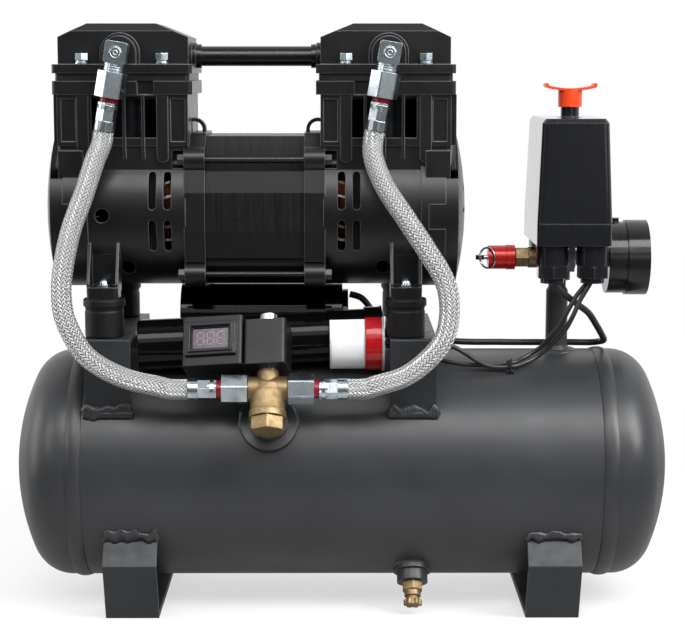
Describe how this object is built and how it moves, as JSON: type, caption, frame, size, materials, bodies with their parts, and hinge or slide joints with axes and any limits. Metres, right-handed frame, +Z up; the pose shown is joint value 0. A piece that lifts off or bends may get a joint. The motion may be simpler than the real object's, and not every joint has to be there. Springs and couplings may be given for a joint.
{
  "type": "oil-free air compressor",
  "caption": "Small horizontal-tank air compressor with a twin-head oil-free pump, braided discharge hoses, unloader valve, pressure switch and gauge.",
  "frame": {"origin": "on the floor, at the middle of the four holes in the two feet", "axes": "+Z up, +X towards the pressure switch along the tank, -Y towards the front with the hoses"},
  "size_m": [0.452, 0.191, 0.4],
  "materials": {
    "tank_paint": "satin charcoal paint",
    "frame_paint": "satin grey-black paint",
    "cushion_rubber": "matte black rubber",
    "zinc": "bright zinc plate",
    "black_screws": "blackened steel",
    "cast_zinc": "cast, unpainted",
    "brass": "machined brass",
    "switch_plastic": "satin moulded black",
    "knob_orange": "gloss moulded orange",
    "cap_red": "red anodised",
    "bare_steel": "bright steel",
    "gauge_black": "gloss black, plated back",
    "dial_white": "matte white, plain scale",
    "needle_red": "matte red",
    "clear": "clear",
    "window": "smoked window",
    "braid": "stainless wire braid",
    "cable_pvc": "satin black sheath",
    "coil_plastic": "moulded black",
    "sleeve_black": "gloss black shrink sleeve",
    "pump_black": "satin black coating",
    "gasket_grey": "bare plate with dark gaskets",
    "laminations": "black varnished laminations",
    "copper": "enamelled copper wire",
    "rotor_steel": "laminations in cast bars",
    "bare_alu": "machined",
    "fan_plastic": "moulded black",
    "pipe_black": "satin black tube"
  },
  "bodies": {
    "frame": {"tank_shell": "tank_paint", "tank_end_left": "tank_paint", "tank_end_right": "tank_paint", "tank_feet": "frame_paint", "pump_brackets": "frame_paint", "rubber_mounts": "cushion_rubber", "mount_screws": "zinc", "tank_bungs": "tank_paint", "drain_valve_body": "brass", "riser_pipe": "tank_paint", "manifold_block": "cast_zinc", "switch_base": "switch_plastic", "switch_cover": "switch_plastic", "cable_glands": "switch_plastic", "safety_valve_body": "brass", "safety_valve_cap": "cap_red", "gauge_case": "gauge_black", "gauge_dial": "dial_white", "gauge_lens": "clear", "check_valve_body": "brass", "check_valve_cap": "brass", "hose_nuts": "zinc", "seal_rings": "cap_red", "hose_ferrules": "zinc", "head_elbows": "zinc", "hose_left": "braid", "hose_right": "braid", "solenoid_coil": "coil_plastic", "solenoid_stem": "zinc", "coil_connector": "coil_plastic", "display_window": "window", "cables": "cable_pvc", "run_capacitor": "sleeve_black", "start_capacitor": "sleeve_black", "stator_core": "laminations", "stator_windings": "copper", "shaft_bearings": "bare_steel", "pump_housing_left": "pump_black", "pump_housing_right": "pump_black", "end_covers": "pump_black", "cylinder_sleeves": "bare_alu", "valve_plates": "gasket_grey", "head_covers": "pump_black", "head_bolts": "zinc", "tie_bolts": "black_screws", "crossover_pipe": "pipe_black"},
    "crankshaft": {"motor_shaft": "bare_steel", "rotor_core": "rotor_steel", "crank_discs": "rotor_steel", "cooling_fans": "fan_plastic"},
    "piston_left_slide": {"piston_left": "bare_alu"},
    "piston_right_slide": {"piston_right": "bare_alu"},
    "pull_knob": {"switch_knob": "knob_orange"},
    "relief_stem": {"safety_valve_stem": "bare_steel"},
    "relief_ring": {"safety_valve_ring": "bare_steel"},
    "drain_screw": {"drain_valve_knob": "brass"},
    "needle": {"gauge_needle": "needle_red"},
    "poppet": {"check_valve_poppet": "bare_steel"},
    "plunger": {"solenoid_plunger": "bare_steel"}
  },
  "joints": [
    {"name": "crank_turn", "type": "hinge", "parent": "frame", "child": "crankshaft", "pos_m": [-0.0585, 0, 0.275], "axis": [1, 0, 0], "continuous": true},
    {"name": "piston_left_stroke", "type": "slide", "parent": "frame", "child": "piston_left_slide", "axis": [0, 0, 1], "range_m": [-0.016, 0]},
    {"name": "piston_right_stroke", "type": "slide", "parent": "frame", "child": "piston_right_slide", "axis": [0, 0, 1], "range_m": [0, 0.016]},
    {"name": "knob_pull", "type": "slide", "parent": "frame", "child": "pull_knob", "axis": [0, 0, 1], "range_m": [-0.006, 0]},
    {"name": "relief_pull", "type": "slide", "parent": "frame", "child": "relief_stem", "axis": [-1, 0, 0], "range_m": [0, 0.003], "stiffness_N_per_m": 800},
    {"name": "ring_swing", "type": "hinge", "parent": "relief_stem", "child": "relief_ring", "pos_m": [0.096, 0, 0.24], "axis": [0, 0, 1], "range_deg": [-105, 0]},
    {"name": "drain_turn", "type": "hinge", "parent": "frame", "child": "drain_screw", "pos_m": [0.048, -0.04303, 0.02975], "axis": [0, -0.5446, -0.8387], "range_deg": [0, 180]},
    {"name": "needle_turn", "type": "hinge", "parent": "frame", "child": "needle", "pos_m": [0.183, 0, 0.24], "axis": [-1, 0, 0], "range_deg": [0, 270], "stiffness_Nm_per_rad": 0.0005},
    {"name": "poppet_lift", "type": "slide", "parent": "frame", "child": "poppet", "axis": [0, -0.4924, -0.8704], "range_m": [0, 0.0012], "stiffness_N_per_m": 200},
    {"name": "plunger_lift", "type": "slide", "parent": "frame", "child": "plunger", "axis": [0, 0.4924, 0.8704], "range_m": [0, 0.002], "stiffness_N_per_m": 300}
  ]
}
